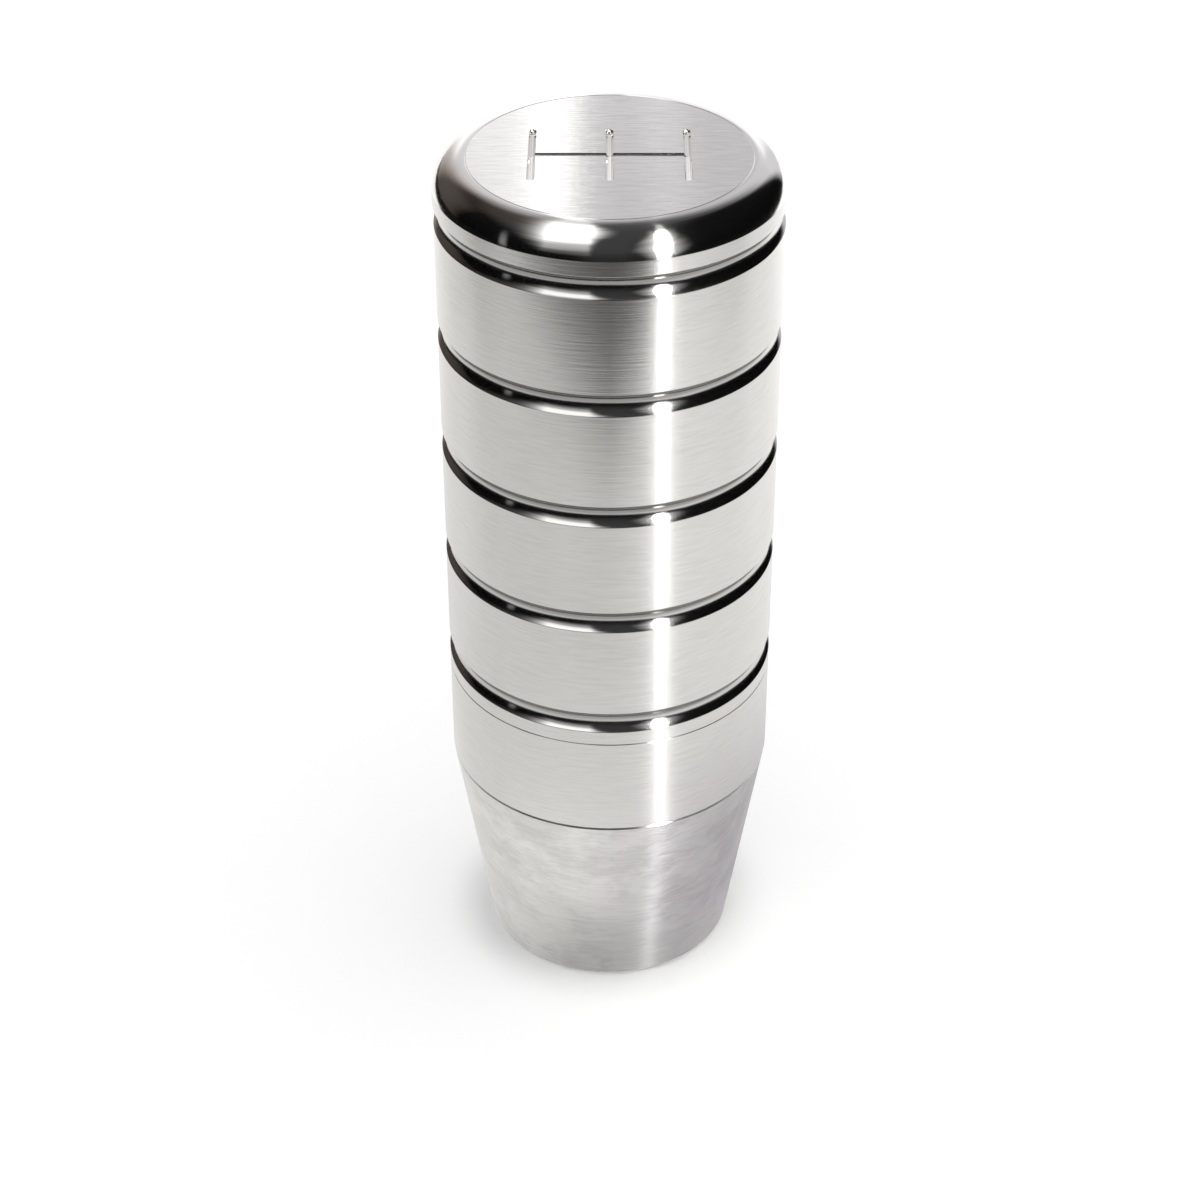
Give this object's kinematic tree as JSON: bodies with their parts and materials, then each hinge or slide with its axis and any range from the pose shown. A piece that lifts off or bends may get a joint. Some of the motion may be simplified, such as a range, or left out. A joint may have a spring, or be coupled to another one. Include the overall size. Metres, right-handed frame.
{
  "type": "gear shift knob",
  "caption": "Cylindrical turned aluminium gear shift knob with finger grooves, a rounded shoulder round a flat top, a tapered foot and a blind threaded bore in its base.",
  "frame": {"origin": "centre of the flat base, on the axis of the knob", "axes": "+Z along the knob's axis, from the base to the flat top; X and Y are free, since the form is turned"},
  "size_m": [0.0322, 0.0322, 0.087],
  "materials": {
    "turned_aluminium": "bare machined: fine turned lines on the grip, polished shoulder and grooves, brushed flat top"
  },
  "bodies": {
    "root": {"knob": "turned_aluminium"}
  },
  "joints": []
}
